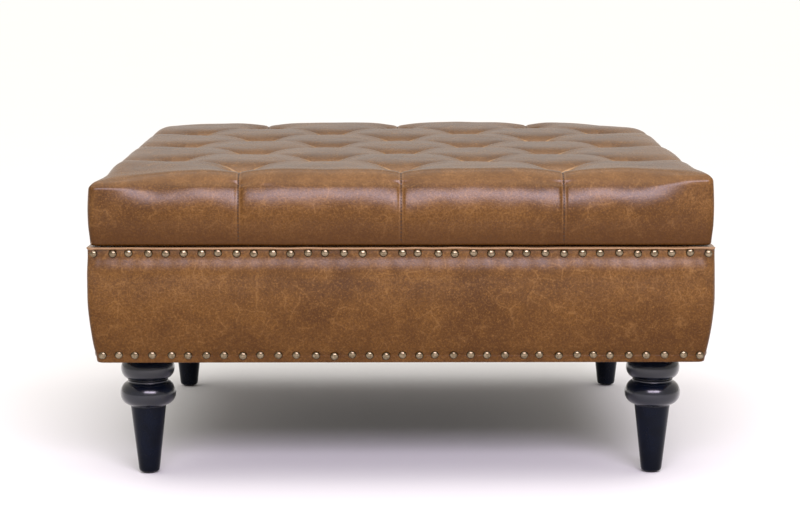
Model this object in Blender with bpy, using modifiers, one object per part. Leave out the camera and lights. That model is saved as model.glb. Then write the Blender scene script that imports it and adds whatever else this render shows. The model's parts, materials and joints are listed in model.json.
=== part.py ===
"""Square leather storage ottoman: turned legs, plywood box with a leather apron and nailhead trim,
and a tufted lid on two lift-off-free hinges at the back.

Metres, +Z up. The origin is on the floor under the middle of the ottoman; the front faces -Y.
"""

import math

import bmesh
import bpy
from mathutils import Matrix, Vector

# ---- driving dimensions -------------------------------------------------------------------------
HALF = 0.4565  # half the width, and half the depth, over the apron leather
BASE_BOTTOM = 0.189
BASE_TOP = 0.359
LID_BOTTOM = 0.362
LID_TOP = 0.4705
LID_HALF = 0.4577
GAP = 0.0003  # kept between pieces that touch
LEATHER = 0.0012
CORNER_RADIUS = 0.010  # of the leather's vertical corners

# ---- box ----------------------------------------------------------------------------------------
BOX_HALF = 0.440  # outer face of the plywood
PLY = 0.015
BOX_INNER = BOX_HALF - PLY
BOX_BOTTOM = BASE_BOTTOM + 0.0016
BOX_TOP = BASE_TOP - 0.0040
RAIL_HEIGHT = 0.025
RAIL_TOP = BOX_BOTTOM + RAIL_HEIGHT
SIDE_RAIL_INNER = 0.337
CROSS_RAIL_WIDTH = 0.070
FLOOR_THICKNESS = 0.010
FLOOR_TOP = RAIL_TOP + GAP + FLOOR_THICKNESS
LINER = 0.0008
DUST_CLOTH = 0.0007

# ---- legs ---------------------------------------------------------------------------------------
LEG_X = 0.382
LEG_Y = 0.338
LEG_PLACES = {
    "front_left": (-LEG_X, -LEG_Y),
    "front_right": (LEG_X, -LEG_Y),
    "back_left": (-LEG_X, LEG_Y),
    "back_right": (LEG_X, LEG_Y),
}
LEG_STEPS = 16
PLATE_HALF = 0.031
PLATE_THICKNESS = 0.0021
PLATE_TOP = BASE_BOTTOM + 0.0002
LEG_TOP = PLATE_TOP - PLATE_THICKNESS - GAP
BOLT_RADIUS = 0.004
BOLT_BOTTOM = 0.128
BOLT_TOP = RAIL_TOP - 0.002
BORE_RADIUS = BOLT_RADIUS + 0.0005
GLIDE_RADIUS = 0.0105
GLIDE_HEIGHT = 0.0022

# ---- nailhead trim ------------------------------------------------------------------------------
NAILS_PER_SIDE = 34
NAIL_RADIUS = 0.0056
NAIL_HEIGHT = 0.0022
UPPER_NAIL_Z = 0.3513
LOWER_NAIL_Z = 0.2000
UPPER_NAIL_INSET = 0.0115  # from the corner of the box to the first nail
LOWER_NAIL_INSET = 0.0075

# ---- lid ----------------------------------------------------------------------------------------
LIP_WIDTH = 0.030
BOARD_HALF = 0.449
BOARD_BOTTOM = LID_BOTTOM + 0.0030
BOARD_THICKNESS = 0.015
FOAM_BOTTOM = BOARD_BOTTOM + BOARD_THICKNESS + GAP
TUFT_PITCH = 0.118  # between neighbouring tuft lines, across and along
TUFT_ROWS = 7
TWINE = 0.0016
TWINE_TOP = LID_TOP - 0.030
TWINE_HOLE = 0.0034
TWINE_BOTTOM = LID_BOTTOM + 0.0012

# ---- hinges -------------------------------------------------------------------------------------
HINGE_X = {"left": -0.29, "right": 0.29}
HINGE_AXIS_Y = 0.4645
HINGE_AXIS_Z = (BASE_TOP + LID_BOTTOM) / 2
HINGE_HALF_LENGTH = 0.035
MIDDLE_KNUCKLE_HALF = 0.0115
KNUCKLE_RADIUS = 0.0045
KNUCKLE_BORE = 0.0026
PIN_RADIUS = 0.0022
LEAF = 0.0010
LEAF_FRONT_Y = 0.402
LEAF_BACK_Y = 0.4590
SCREW_SPREAD = 0.024
BASE_SCREW_Y = 0.4325
LID_SCREW_Y = 0.4115
SCREW_RADIUS = 0.0017
SCREW_HEAD_RADIUS = 0.0034
SCREW_LENGTH = 0.0125
ROUND = 16  # sides of a small round piece


# ---- scene --------------------------------------------------------------------------------------
for old in list(bpy.data.objects):
    bpy.data.objects.remove(old)
ottoman = bpy.data.collections.new("storage_ottoman")
cutters = bpy.data.collections.new("cutters")
cutters.hide_render = True
bpy.context.scene.collection.children.link(ottoman)
bpy.context.scene.collection.children.link(cutters)


def material(name, colour, roughness, metallic=0.0):
    made = bpy.data.materials.new(name)
    made.use_nodes = True
    shader = made.node_tree.nodes["Principled BSDF"]
    shader.inputs["Base Color"].default_value = (*colour, 1.0)
    shader.inputs["Roughness"].default_value = roughness
    shader.inputs["Metallic"].default_value = metallic
    return made


LEATHER_BROWN = material("saddle_leather", (0.27, 0.13, 0.055), 0.42)
PLYWOOD = material("plywood", (0.62, 0.45, 0.27), 0.7)
PINE = material("pine", (0.70, 0.52, 0.32), 0.75)
BLACK_WOOD = material("black_lacquered_wood", (0.012, 0.014, 0.020), 0.28)
FOAM = material("foam", (0.80, 0.76, 0.62), 0.95)
CLOTH = material("black_cloth", (0.02, 0.02, 0.02), 0.95)
STEEL = material("zinc_steel", (0.62, 0.62, 0.60), 0.35, 1.0)
NYLON = material("nylon", (0.05, 0.05, 0.05), 0.5)
TWINE_WAXED = material("waxed_twine", (0.75, 0.70, 0.58), 0.8)


# ---- shapes -------------------------------------------------------------------------------------
def add(name, data, surface, collection=ottoman):
    made = bpy.data.objects.new(name, data)
    collection.objects.link(made)
    data.materials.append(surface)
    return made


def box(name, low, high, surface, collection=ottoman):
    """A block between two corners, with its origin in the middle."""
    low, high = Vector(low), Vector(high)
    shape = bmesh.new()
    bmesh.ops.create_cube(shape, size=1.0)
    bmesh.ops.scale(shape, vec=high - low, verts=shape.verts)
    mesh = bpy.data.meshes.new(name)
    shape.to_mesh(mesh)
    shape.free()
    made = add(name, mesh, surface, collection)
    made.location = (low + high) / 2
    return made


def circle(radius, centre=(0.0, 0.0), sides=ROUND):
    return [
        (
            centre[0] + radius * math.cos(2 * math.pi * i / sides),
            centre[1] + radius * math.sin(2 * math.pi * i / sides),
        )
        for i in range(sides)
    ]


def rectangle(half_x, half_y, centre=(0.0, 0.0)):
    return [
        (centre[0] + sx * half_x, centre[1] + sy * half_y)
        for sx, sy in ((-1, -1), (1, -1), (1, 1), (-1, 1))
    ]


def plate(name, outlines, bottom, thickness, surface):
    """A flat piece cut from sheet: the first outline is its edge, the others its holes."""
    curve = bpy.data.curves.new(name, "CURVE")
    curve.dimensions = "2D"
    curve.fill_mode = "BOTH"
    curve.extrude = thickness / 2
    for outline in outlines:
        spline = curve.splines.new("POLY")
        spline.points.add(len(outline) - 1)
        for point, (x, y) in zip(spline.points, outline):
            point.co = (x, y, 0.0, 1.0)
        spline.use_cyclic_u = True
    made = add(name, curve, surface)
    made.location.z = bottom + thickness / 2
    return made


def turned(name, profile, surface, location=(0, 0, 0), steps=ROUND, collection=ottoman):
    """A turned piece. The profile is (radius, height) pairs, down the outer side from top to bottom."""
    mesh = bpy.data.meshes.new(name)
    count = len(profile)
    mesh.from_pydata(
        [(radius, 0.0, height) for radius, height in profile],
        [(i, i + 1) for i in range(count - 1)],
        [],
    )
    made = add(name, mesh, surface, collection)
    made.location = location
    screw = made.modifiers.new("turn", "SCREW")
    screw.steps = screw.render_steps = steps
    screw.use_merge_vertices = True
    screw.merge_threshold = 0.00001
    screw.use_smooth_shade = True
    return made


def rounded_square(half, radius, corner_steps=4):
    """Corner points of a square with round corners, anticlockwise."""
    points = []
    for quarter, (sx, sy) in enumerate(((1, 1), (-1, 1), (-1, -1), (1, -1))):
        for i in range(corner_steps + 1):
            angle = math.pi / 2 * (quarter + i / corner_steps)
            x = sx * (half - radius) + radius * math.cos(angle)
            y = sy * (half - radius) + radius * math.sin(angle)
            points.append((x, y))
    return points


def wrap(name, section, surface):
    """A band of constant section round the square box. The section is (half width, height) pairs, in order
    anticlockwise when looking along the band."""
    mesh = bpy.data.meshes.new(name)
    shape = bmesh.new()
    loops = []
    for half, height in section:
        radius = CORNER_RADIUS + half - HALF
        ring = rounded_square(half, max(radius, 0.001))
        loops.append([shape.verts.new((x, y, height)) for x, y in ring])
    for lower, upper in zip(loops, loops[1:] + loops[:1]):
        for i in range(len(lower)):
            j = (i + 1) % len(lower)
            shape.faces.new((lower[i], lower[j], upper[j], upper[i]))
    bmesh.ops.recalc_face_normals(shape, faces=shape.faces)
    shape.to_mesh(mesh)
    shape.free()
    return add(name, mesh, surface)


def offset_line(points, distance):
    """The open line moved sideways, to the left of its direction, by the distance."""
    moved = []
    for i, point in enumerate(points):
        before = Vector(points[max(i - 1, 0)])
        after = Vector(points[min(i + 1, len(points) - 1)])
        here = Vector(point)
        first = (here - before).normalized() if i else (after - here).normalized()
        second = (after - here).normalized() if i < len(points) - 1 else first
        normal = Vector((-(first + second).y, (first + second).x)).normalized()
        lean = max(normal.dot(Vector((-first.y, first.x))), 0.5)
        moved.append(tuple(here + normal * distance / lean))
    return moved


def strip_section(line, inside, outside):
    """A closed section between two offsets of a line."""
    return offset_line(line, inside) + offset_line(line, outside)[::-1]


def boolean(target, other, operation):
    step = target.modifiers.new(operation.lower(), "BOOLEAN")
    step.operation = operation
    step.object = other
    other.hide_render = True
    other.display_type = "WIRE"
    return target


def cylinder(name, radius_low, radius_high, low, high, centre, axis="Z", sides=ROUND):
    """A cutter or a piece to join: a cylinder or cone from low to high along an axis."""
    shape = bmesh.new()
    bmesh.ops.create_cone(
        shape,
        cap_ends=True,
        segments=sides,
        radius1=radius_low,
        radius2=radius_high,
        depth=high - low,
    )
    bmesh.ops.translate(shape, vec=(0, 0, (low + high) / 2), verts=shape.verts)
    if axis == "X":
        turn = Matrix.Rotation(math.pi / 2, 3, "Y")
        bmesh.ops.rotate(shape, cent=(0, 0, 0), matrix=turn, verts=shape.verts)
    bmesh.ops.translate(shape, vec=centre, verts=shape.verts)
    mesh = bpy.data.meshes.new(name)
    shape.to_mesh(mesh)
    shape.free()
    return add(name, mesh, STEEL, cutters)


# ---- box carcass --------------------------------------------------------------------------------
def build_box():
    for name, side in (("front_panel", -1), ("back_panel", 1)):
        y0, y1 = sorted((side * BOX_INNER, side * BOX_HALF))
        box(name, (-BOX_HALF, y0, BOX_BOTTOM), (BOX_HALF, y1, BOX_TOP), PLYWOOD)
    for name, side in (("left_panel", -1), ("right_panel", 1)):
        x0, x1 = sorted((side * BOX_INNER, side * BOX_HALF))
        end = BOX_INNER - GAP
        box(name, (x0, -end, BOX_BOTTOM), (x1, end, BOX_TOP), PLYWOOD)

    end = BOX_INNER - GAP
    rail_half = (end - SIDE_RAIL_INNER) / 2
    rail_x = (end + SIDE_RAIL_INNER) / 2
    for name, side in (("left_rail", -1), ("right_rail", 1)):
        holes = [
            circle(BORE_RADIUS, (side * LEG_X, y), 8) for y in (-LEG_Y, LEG_Y)
        ]
        edge = rectangle(rail_half, end, (side * rail_x, 0))
        plate(name, [edge, *holes], BOX_BOTTOM, RAIL_HEIGHT, PINE)
    across = SIDE_RAIL_INNER - GAP
    for name, middle in (
        ("front_rail", CROSS_RAIL_WIDTH / 2 - end),
        ("centre_rail", 0.0),
        ("back_rail", end - CROSS_RAIL_WIDTH / 2),
    ):
        low = (-across, middle - CROSS_RAIL_WIDTH / 2, BOX_BOTTOM)
        high = (across, middle + CROSS_RAIL_WIDTH / 2, RAIL_TOP)
        box(name, low, high, PINE)
    box("floor_panel", (-end, -end, RAIL_TOP + GAP), (end, end, FLOOR_TOP), PLYWOOD)


def build_liner():
    """Cloth lining of the storage space: an open-topped box folded from one thin sheet."""
    outer = BOX_INNER - 2 * GAP
    low = FLOOR_TOP + GAP
    high = BOX_TOP - 0.002
    shape = bmesh.new()
    bmesh.ops.create_cube(shape, size=1.0)
    bmesh.ops.scale(shape, vec=(2 * outer, 2 * outer, high - low), verts=shape.verts)
    lid_face = max(shape.faces, key=lambda face: face.calc_center_median().z)
    bmesh.ops.delete(shape, geom=[lid_face], context="FACES_ONLY")
    mesh = bpy.data.meshes.new("storage_liner")
    shape.to_mesh(mesh)
    shape.free()
    liner = add("storage_liner", mesh, CLOTH)
    liner.location.z = (low + high) / 2
    solidify = liner.modifiers.new("cloth", "SOLIDIFY")
    solidify.thickness = LINER
    solidify.offset = -1.0


def build_dust_cloth():
    half = 0.4270
    holes = [circle(BORE_RADIUS + 0.001, place, 8) for place in LEG_PLACES.values()]
    bottom = BASE_BOTTOM + 0.0005
    plate("dust_cloth", [rectangle(half, half), *holes], bottom, DUST_CLOTH, CLOTH)


# ---- legs ---------------------------------------------------------------------------------------
def leg_profile():
    """Bore, collar, two turned rings with a neck between them, and the tapered shaft."""
    rings = []
    for centre, half_height, radius, root in (
        (0.1615, 0.0185, 0.0405, 0.0270),
        (0.1225, 0.0180, 0.0422, 0.0265),
    ):
        for i in range(7):
            angle = math.pi * (i / 6)
            reach = root + (radius - root) * math.sin(angle)
            rings.append((reach, centre + half_height * math.cos(angle)))
    return [
        (0.0, BOLT_BOTTOM - 0.001),
        (BORE_RADIUS, BOLT_BOTTOM - 0.001),
        (BORE_RADIUS, LEG_TOP),
        (0.0270, LEG_TOP),
        *rings,
        (0.0264, 0.0985),
        (0.0209, 0.0490),
        (0.0158, 0.0060),
        (0.0135, GLIDE_HEIGHT + GAP),
        (0.0, GLIDE_HEIGHT + GAP),
    ]


def build_legs():
    profile = leg_profile()
    for place, (x, y) in LEG_PLACES.items():
        turned(f"leg_{place}", profile, BLACK_WOOD, (x, y, 0), LEG_STEPS)
        hole = circle(BORE_RADIUS, (x, y), 8)
        edge = rectangle(PLATE_HALF, PLATE_HALF, (x, y))
        bottom = PLATE_TOP - PLATE_THICKNESS
        plate(f"leg_plate_{place}", [edge, hole], bottom, PLATE_THICKNESS, STEEL)
        bolt = [
            (0.0, BOLT_TOP),
            (BOLT_RADIUS - 0.001, BOLT_TOP),
            (BOLT_RADIUS, BOLT_TOP - 0.001),
            (BOLT_RADIUS, BOLT_BOTTOM),
            (0.0, BOLT_BOTTOM),
        ]
        turned(f"hanger_bolt_{place}", bolt, STEEL, (x, y, 0), 8)
        glide = [
            (0.0, GLIDE_HEIGHT),
            (GLIDE_RADIUS, GLIDE_HEIGHT),
            (GLIDE_RADIUS, 0.0008),
            (GLIDE_RADIUS - 0.0012, 0.0),
            (0.0, 0.0),
        ]
        turned(f"leg_glide_{place}", glide, NYLON, (x, y, 0), 12)


# ---- apron --------------------------------------------------------------------------------------
# outer face of the leather from the inner edge of the rim, over it, down the side and under the box
APRON_LINE = [
    (BOX_INNER + 0.0010, BASE_TOP),
    (HALF - 0.0045, BASE_TOP),
    (HALF - 0.0010, BASE_TOP - 0.0022),
    (HALF - 0.0004, 0.3420),
    (HALF, 0.3000),
    (HALF - 0.0005, 0.2550),
    (HALF - 0.0030, 0.2230),
    (HALF - 0.0085, 0.1970),
    (HALF - 0.0120, BASE_BOTTOM),
    (BOX_HALF - 0.0110, BASE_BOTTOM),
]


def build_apron():
    """Leather over a foam pad, with holes in the rim for the hinge screws."""
    leather = wrap(
        "apron_leather", strip_section(APRON_LINE, 0.0, -LEATHER), LEATHER_BROWN
    )
    for side, x in HINGE_X.items():
        for end in (-1, 1):
            centre = (x + end * SCREW_SPREAD, BASE_SCREW_Y, 0)
            name = f"rim_screw_hole_{side}_{end}"
            hole = cylinder(
                name, 0.0022, 0.0022, BASE_TOP - 0.005, BASE_TOP + 0.005, centre, "Z", 8
            )
            boolean(leather, hole, "DIFFERENCE")
    side_line = APRON_LINE[2:-1]
    outer = offset_line(side_line, -(LEATHER + GAP + 0.0002))
    outer[0] = (outer[0][0], BOX_TOP - 0.0006)
    outer[-1] = (outer[-1][0], BOX_BOTTOM + 0.0006)
    inner = BOX_HALF + GAP + 0.0002
    wrap(
        "apron_padding",
        [*outer, (inner, outer[-1][1]), (inner, outer[0][1])],
        FOAM,
    )


def apron_face(height):
    """(half width, lean in radians) of the apron leather's outer face at a height."""
    for (u0, z0), (u1, z1) in zip(APRON_LINE[1:-1], APRON_LINE[2:]):
        if z1 <= height <= z0:
            share = (z0 - height) / (z0 - z1)
            return u0 + (u1 - u0) * share, math.atan2(u0 - u1, z0 - z1)
    raise ValueError(f"no apron face at height {height}")


def nail_cones(name, height, inset, reach):
    """Nail heads along all four sides, as low cones that start inside the strip."""
    half, lean = apron_face(height)
    shape = bmesh.new()
    for side in range(4):
        for i in range(NAILS_PER_SIDE):
            along = (half - inset) * (2 * i / (NAILS_PER_SIDE - 1) - 1)
            place = (
                Matrix.Rotation(side * math.pi / 2, 4, "Z")
                @ Matrix.Translation((along, -half, height))
                @ Matrix.Rotation(math.pi / 2 + lean, 4, "X")
                @ Matrix.Translation((0, 0, reach + NAIL_HEIGHT / 2))
            )
            bmesh.ops.create_cone(
                shape,
                cap_ends=True,
                segments=6,
                radius1=NAIL_RADIUS,
                radius2=0.0,
                depth=NAIL_HEIGHT,
                matrix=place,
            )
    mesh = bpy.data.meshes.new(name)
    shape.to_mesh(mesh)
    shape.free()
    return add(name, mesh, LEATHER_BROWN, cutters)


def build_trim(name, low, high, nail_height, inset):
    """A narrow leather strip that follows the apron's face, with its row of nails joined to it."""
    line = [
        (apron_face(high)[0], high),
        *[(u, z) for u, z in APRON_LINE if low < z < high],
        (apron_face(low)[0], low),
    ]
    strip = wrap(name, strip_section(line, GAP, GAP + 0.0010), LEATHER_BROWN)
    heads = nail_cones(f"{name}_heads", nail_height, inset, GAP + 0.0006)
    boolean(strip, heads, "UNION")


# ---- lid ----------------------------------------------------------------------------------------
def tuft_columns(row):
    """Across positions of the tufts in one row: three and four by turns, half a diamond apart."""
    count = 3 + row % 2
    return [(i - (count - 1) / 2) * 2 * TUFT_PITCH for i in range(count)]


def tuft_row_y(row):
    return (row - (TUFT_ROWS - 1) / 2) * TUFT_PITCH


def build_lid_board():
    holes = [
        rectangle(TWINE_HOLE / 2, TWINE_HOLE / 2, (x, tuft_row_y(row)))
        for row in range(TUFT_ROWS)
        for x in tuft_columns(row)
    ]
    holes += [
        circle(SCREW_RADIUS + 0.0004, (x + end * SCREW_SPREAD, LID_SCREW_Y), 8)
        for x in HINGE_X.values()
        for end in (-1, 1)
    ]
    edge = rectangle(BOARD_HALF, BOARD_HALF)
    plate("lid_board", [edge, *holes], BOARD_BOTTOM, BOARD_THICKNESS, PLYWOOD)


def build_lid_foam():
    half = LID_HALF - LEATHER - 0.0010
    low = (-half, -half, FOAM_BOTTOM)
    high = (half, half, LID_TOP - LEATHER - 0.0008)
    foam = box("lid_foam", low, high, FOAM)
    bevel = foam.modifiers.new("soft_edges", "BEVEL")
    bevel.width = 0.0125
    bevel.segments = 2
    bevel.limit_method = "WEIGHT"
    weights = foam.data.attributes.new("bevel_weight_edge", "FLOAT", "EDGE")
    for edge in foam.data.edges:
        ends = [foam.data.vertices[v].co for v in edge.vertices]
        weights.data[edge.index].value = float(max(end.z for end in ends) > 0)
    shape = bmesh.new()
    for row in range(TUFT_ROWS):
        for x in tuft_columns(row):
            depth = TWINE_TOP - FOAM_BOTTOM + 0.004
            centre = (x, tuft_row_y(row), FOAM_BOTTOM + depth / 2 - 0.002)
            bmesh.ops.create_cube(
                shape,
                size=1.0,
                matrix=Matrix.Translation(centre)
                @ Matrix.Diagonal((TWINE_HOLE, TWINE_HOLE, depth, 1.0)),
            )
    mesh = bpy.data.meshes.new("twine_holes")
    shape.to_mesh(mesh)
    shape.free()
    boolean(foam, add("twine_holes", mesh, FOAM, cutters), "DIFFERENCE")


def build_lid_leather():
    """The cover: a rounded box whose bottom edge turns in under the board as a lip."""
    height = LID_TOP - LID_BOTTOM
    shape = bmesh.new()
    bmesh.ops.create_cube(shape, size=1.0)
    size = (2 * LID_HALF, 2 * LID_HALF, height)
    bmesh.ops.scale(shape, vec=size, verts=shape.verts)
    under = min(shape.faces, key=lambda face: face.calc_center_median().z)
    bmesh.ops.inset_individual(shape, faces=[under], thickness=LIP_WIDTH)
    bmesh.ops.delete(shape, geom=[under], context="FACES_ONLY")
    mesh = bpy.data.meshes.new("lid_leather")
    shape.to_mesh(mesh)
    shape.free()
    cover = add("lid_leather", mesh, LEATHER_BROWN)
    cover.location.z = (LID_TOP + LID_BOTTOM) / 2
    weights = mesh.attributes.new("bevel_weight_edge", "FLOAT", "EDGE")
    for edge in mesh.edges:
        ends = [mesh.vertices[v].co for v in edge.vertices]
        on_side = all(abs(end.x) > LID_HALF - 0.001 or abs(end.y) > LID_HALF - 0.001 for end in ends)
        top = min(end.z for end in ends) > 0
        upright = abs(ends[0].z - ends[1].z) > height / 2
        weights.data[edge.index].value = float(on_side and (top or upright))
    bevel = cover.modifiers.new("soft_edges", "BEVEL")
    bevel.width = 0.0140
    bevel.segments = 3
    bevel.limit_method = "WEIGHT"
    solidify = cover.modifiers.new("leather", "SOLIDIFY")
    solidify.thickness = LEATHER
    solidify.offset = -1.0
    solidify.use_even_offset = True


def build_lid_lining():
    front, back = -0.4200, LEAF_FRONT_Y - 0.0060
    edge = rectangle(0.4200, (back - front) / 2, (0, (front + back) / 2))
    plate("lid_lining", [edge], LID_BOTTOM + 0.0002, DUST_CLOTH, CLOTH)


def build_twine():
    """One waxed twine for each row: it runs under the board and up through it to each tuft."""
    for row in range(TUFT_ROWS):
        half = TWINE / 2
        columns = tuft_columns(row)
        run_top = TWINE_BOTTOM + TWINE
        outline = [(columns[0] - half, TWINE_BOTTOM), (columns[-1] + half, TWINE_BOTTOM)]
        for x in reversed(columns):
            foot = [(x + half, run_top)] if x != columns[-1] else []
            back = [(x - half, run_top)] if x != columns[0] else []
            outline += [*foot, (x + half, TWINE_TOP), (x - half, TWINE_TOP), *back]
        twine = plate(f"tuft_twine_row_{row + 1}", [outline], 0.0, TWINE, TWINE_WAXED)
        twine.rotation_euler.x = math.pi / 2
        twine.location = (0, tuft_row_y(row), 0)


# ---- hinges -------------------------------------------------------------------------------------
def hinge_leaf(name, x, low, knuckles, screw_y, head_down):
    """A flat leaf with its rolled knuckles, bored for the pin, and two countersunk screw holes."""
    front_back = ((x - HINGE_HALF_LENGTH, LEAF_FRONT_Y), (x + HINGE_HALF_LENGTH, LEAF_BACK_Y))
    leaf = box(name, (*front_back[0], low), (*front_back[1], low + LEAF), STEEL)
    for i, (start, stop) in enumerate(knuckles):
        centre = (x, HINGE_AXIS_Y, HINGE_AXIS_Z)
        barrel = cylinder(
            f"{name}_barrel_{i}", KNUCKLE_RADIUS, KNUCKLE_RADIUS, start, stop, centre, "X"
        )
        boolean(leaf, barrel, "UNION")
        tongue = box(
            f"{name}_tongue_{i}",
            (x + start + 0.0001, LEAF_BACK_Y - 0.002, low + 0.00005),
            (x + stop - 0.0001, HINGE_AXIS_Y - 0.0030, low + LEAF - 0.00005),
            STEEL,
            cutters,
        )
        boolean(leaf, tongue, "UNION")
    bore = cylinder(
        f"{name}_bore",
        KNUCKLE_BORE,
        KNUCKLE_BORE,
        -HINGE_HALF_LENGTH - 0.01,
        HINGE_HALF_LENGTH + 0.01,
        (x, HINGE_AXIS_Y, HINGE_AXIS_Z),
        "X",
    )
    boolean(leaf, bore, "DIFFERENCE")
    wide = SCREW_HEAD_RADIUS + 0.0004
    narrow = SCREW_RADIUS + 0.0004
    slope = (wide - narrow) / LEAF
    over = 0.0004  # how far the cutter runs past each face
    ends = (wide + slope * over, narrow - slope * over)
    for end in (-1, 1):
        hole = cylinder(
            f"{name}_screw_hole_{end}",
            ends[0] if head_down else ends[1],
            ends[1] if head_down else ends[0],
            low - over,
            low + LEAF + over,
            (x + end * SCREW_SPREAD, screw_y, 0),
        )
        boolean(leaf, hole, "DIFFERENCE")


def hinge_screw(name, x, y, head_face, points_up):
    """A countersunk wood screw, flush with its leaf."""
    sign = 1 if points_up else -1
    profile = [
        (0.0, 0.0),
        (SCREW_HEAD_RADIUS, 0.0),
        (SCREW_RADIUS, LEAF),
        (SCREW_RADIUS, SCREW_LENGTH - 0.003),
        (0.0, SCREW_LENGTH),
    ]
    heights = [(r, head_face + sign * h) for r, h in profile]
    turned(name, heights[::-1] if points_up else heights, STEEL, (x, y, 0), 8)


def build_hinges():
    edge = HINGE_HALF_LENGTH
    middle = MIDDLE_KNUCKLE_HALF
    outer_knuckles = [(-edge, -middle - GAP), (middle + GAP, edge)]
    base_low = BASE_TOP + GAP
    lid_low = LID_BOTTOM - GAP - LEAF
    for side, x in HINGE_X.items():
        hinge_leaf(
            f"hinge_base_leaf_{side}", x, base_low, outer_knuckles, BASE_SCREW_Y, False
        )
        hinge_leaf(
            f"hinge_lid_leaf_{side}", x, lid_low, [(-middle, middle)], LID_SCREW_Y, True
        )
        pin = [
            (0.0, edge + 0.0015),
            (PIN_RADIUS, edge + 0.0015),
            (PIN_RADIUS, -edge - 0.0015),
            (0.0, -edge - 0.0015),
        ]
        place = (x, HINGE_AXIS_Y, HINGE_AXIS_Z)
        turned(f"hinge_pin_{side}", pin, STEEL, place).rotation_euler.y = math.pi / 2
        for end, word in ((-1, "outer"), (1, "inner")):
            across = x + end * SCREW_SPREAD
            hinge_screw(
                f"base_screw_{side}_{word}", across, BASE_SCREW_Y, base_low + LEAF, False
            )
            hinge_screw(f"lid_screw_{side}_{word}", across, LID_SCREW_Y, lid_low, True)


def drill_back_panel():
    """Pilot holes in the top edge of the back panel for the base leaves' screws."""
    panel = bpy.data.objects["back_panel"]
    for side, x in HINGE_X.items():
        for end in (-1, 1):
            pilot = SCREW_RADIUS + 0.0004
            hole = cylinder(
                f"pilot_{side}_{end}",
                pilot,
                pilot,
                BOX_TOP - SCREW_LENGTH,
                BOX_TOP + 0.002,
                (x + end * SCREW_SPREAD, BASE_SCREW_Y, 0),
                "Z",
                8,
            )
            boolean(panel, hole, "DIFFERENCE")


build_box()
drill_back_panel()
build_liner()
build_dust_cloth()
build_legs()
build_apron()
build_trim("upper_nail_trim", 0.3440, 0.3565, UPPER_NAIL_Z, UPPER_NAIL_INSET)
build_trim("lower_nail_trim", 0.1910, 0.2075, LOWER_NAIL_Z, LOWER_NAIL_INSET)
build_lid_board()
build_lid_foam()
build_lid_leather()
build_lid_lining()
build_twine()
build_hinges()
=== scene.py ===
# Storage ottoman: a tufted leather lid on a nailed leather apron, turned black legs, a lined storage box.
import json
import math

import bmesh
import bpy
import numpy as np
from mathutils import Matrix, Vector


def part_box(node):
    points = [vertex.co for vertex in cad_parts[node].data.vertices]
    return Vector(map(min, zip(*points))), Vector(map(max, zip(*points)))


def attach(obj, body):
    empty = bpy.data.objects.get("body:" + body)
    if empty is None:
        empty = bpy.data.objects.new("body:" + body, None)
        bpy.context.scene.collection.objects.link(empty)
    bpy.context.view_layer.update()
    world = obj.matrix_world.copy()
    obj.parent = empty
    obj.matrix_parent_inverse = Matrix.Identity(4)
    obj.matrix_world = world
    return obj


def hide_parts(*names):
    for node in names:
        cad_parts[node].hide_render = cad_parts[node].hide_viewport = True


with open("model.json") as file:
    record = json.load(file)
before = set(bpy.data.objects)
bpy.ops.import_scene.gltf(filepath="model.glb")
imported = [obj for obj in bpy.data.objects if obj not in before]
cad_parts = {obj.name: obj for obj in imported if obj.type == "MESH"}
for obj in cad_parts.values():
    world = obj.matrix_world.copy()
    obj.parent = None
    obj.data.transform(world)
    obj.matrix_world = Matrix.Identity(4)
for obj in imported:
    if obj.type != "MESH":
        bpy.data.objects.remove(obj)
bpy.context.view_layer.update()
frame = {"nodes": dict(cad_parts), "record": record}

print("frame loaded:", len(frame["nodes"]), "CAD nodes")


def meshPiece(name, points, faces, paint):
    # points is n x 3; faces is a list of index arrays, each with one row per face
    mesh = bpy.data.meshes.new(name)
    points = np.asarray(points, dtype=np.float32).reshape(-1, 3)
    corners = np.concatenate([f.ravel() for f in faces]).astype(np.int32)
    sizes = np.concatenate([np.full(len(f), f.shape[1]) for f in faces])
    starts = (np.cumsum(sizes) - sizes).astype(np.int32)
    mesh.vertices.add(len(points))
    mesh.vertices.foreach_set("co", points.ravel())
    mesh.loops.add(len(corners))
    mesh.loops.foreach_set("vertex_index", corners)
    mesh.polygons.add(len(starts))
    mesh.polygons.foreach_set("loop_start", starts)
    mesh.update(calc_edges=True)
    mesh.validate()
    mesh.shade_smooth()
    mesh.materials.append(paint)
    piece = bpy.data.objects.new(name, mesh)
    bpy.context.scene.collection.objects.link(piece)
    return piece


def gridFaces(rows, cols, closedRows=False, closedCols=False, start=0):
    # four-cornered faces between neighbouring rows and columns; a closed direction wraps round
    firstRows = np.arange(rows if closedRows else rows - 1)
    firstCols = np.arange(cols if closedCols else cols - 1)
    r, c = np.meshgrid(firstRows, firstCols, indexing="ij")
    r2, c2 = (r + 1) % rows, (c + 1) % cols
    quads = np.stack([r * cols + c, r * cols + c2, r2 * cols + c2, r2 * cols + c], -1)
    return quads.reshape(-1, 4) + start


def outward(piece):
    # turns every face of a closed piece outwards
    work = bmesh.new()
    work.from_mesh(piece.data)
    bmesh.ops.recalc_face_normals(work, faces=work.faces)
    work.to_mesh(piece.data)
    work.free()
    return piece


def repeated(name, points, faces, places, paint):
    # one small shape put at many places: places is k x 3 x 4, a turn and a shift for each copy
    turns, shifts = places[:, :, :3], places[:, :, 3]
    allPoints = np.einsum("kij,nj->kni", turns, points) + shifts[:, None, :]
    steps = np.arange(len(places))[:, None, None] * len(points)
    allFaces = [(f[None] + steps).reshape(-1, f.shape[1]) for f in faces]
    return meshPiece(name, allPoints, allFaces, paint)


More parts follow.
